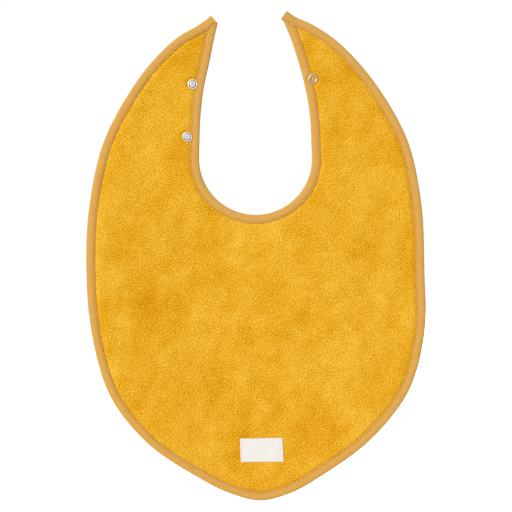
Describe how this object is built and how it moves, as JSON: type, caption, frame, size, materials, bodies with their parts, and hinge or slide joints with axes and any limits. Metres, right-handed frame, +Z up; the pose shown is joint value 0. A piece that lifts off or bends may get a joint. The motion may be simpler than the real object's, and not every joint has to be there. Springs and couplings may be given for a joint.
{
  "type": "baby bib",
  "caption": "Terry-cloth baby bib with bound edges, a round neck and two arms that wrap behind the neck and close on metal press studs.",
  "frame": {"origin": "centre of the neck opening's lower arc, in the middle plane of the cloth", "axes": "+Z up towards the arm tips, -Y the front face, +X to the right as seen from the front"},
  "size_m": [0.2726, 0.0068, 0.3927],
  "materials": {
    "terry": "matt looped terry",
    "backing": "matt knitted cotton",
    "binding": "matt woven cotton",
    "thread": "matt sewing thread",
    "label": "matt woven tape",
    "label_thread": "matt sewing thread",
    "snap_metal": "bright plated",
    "spring": "drawn wire"
  },
  "bodies": {
    "chest": {"front_panel_chest": "terry", "back_panel_chest": "backing", "outer_binding_chest": "binding", "neck_binding_chest": "binding", "seam_thread_chest": "thread"},
    "lap": {"front_panel_lap": "terry", "back_panel_lap": "backing", "outer_binding_lap": "binding", "seam_thread_lap": "thread", "label": "label", "label_stitch": "label_thread"},
    "left_shoulder": {"front_panel_left_shoulder": "terry", "back_panel_left_shoulder": "backing", "outer_binding_left_shoulder": "binding", "neck_binding_left_shoulder": "binding", "seam_thread_left_shoulder": "thread", "left_lower_stud": "snap_metal", "left_lower_prong_ring": "snap_metal"},
    "left_tab": {"front_panel_left_tab": "terry", "back_panel_left_tab": "backing", "outer_binding_left_tab": "binding", "neck_binding_left_tab": "binding", "seam_thread_left_tab": "thread", "left_upper_stud": "snap_metal", "left_upper_prong_ring": "snap_metal"},
    "right_shoulder": {"front_panel_right_shoulder": "terry", "back_panel_right_shoulder": "backing", "outer_binding_right_shoulder": "binding", "neck_binding_right_shoulder": "binding", "seam_thread_right_shoulder": "thread"},
    "right_tab": {"front_panel_right_tab": "terry", "back_panel_right_tab": "backing", "outer_binding_right_tab": "binding", "neck_binding_right_tab": "binding", "seam_thread_right_tab": "thread", "right_prong_ring": "snap_metal", "right_socket": "snap_metal", "right_socket_spring": "spring"}
  },
  "joints": [
    {"name": "lap_fold", "type": "hinge", "parent": "chest", "child": "lap", "pos_m": [0, 0, -0.17], "axis": [-1, 0, 0], "range_deg": [-40, 75], "stiffness_Nm_per_rad": 0.02},
    {"name": "left_wrap", "type": "hinge", "parent": "chest", "child": "left_shoulder", "pos_m": [0, 0, 0], "axis": [-0.8192, 0, -0.5736], "range_deg": [-20, 88.4], "stiffness_Nm_per_rad": 0.02},
    {"name": "left_tab_wrap", "type": "hinge", "parent": "left_shoulder", "child": "left_tab", "pos_m": [-0.045, 0, 0.028], "axis": [-0.9976, 0, 0.0698], "range_deg": [-20, 46.4], "stiffness_Nm_per_rad": 0.02},
    {"name": "right_wrap", "type": "hinge", "parent": "chest", "child": "right_shoulder", "pos_m": [-0.0008, 0, -0.0013], "axis": [-0.8429, 0, 0.5381], "range_deg": [-20, 83.81], "stiffness_Nm_per_rad": 0.02},
    {"name": "right_tab_wrap", "type": "hinge", "parent": "right_shoulder", "child": "right_tab", "pos_m": [0.0426, 0, 0.03423], "axis": [-0.9957, 0, -0.0924], "range_deg": [-20, 51.11], "stiffness_Nm_per_rad": 0.02}
  ]
}
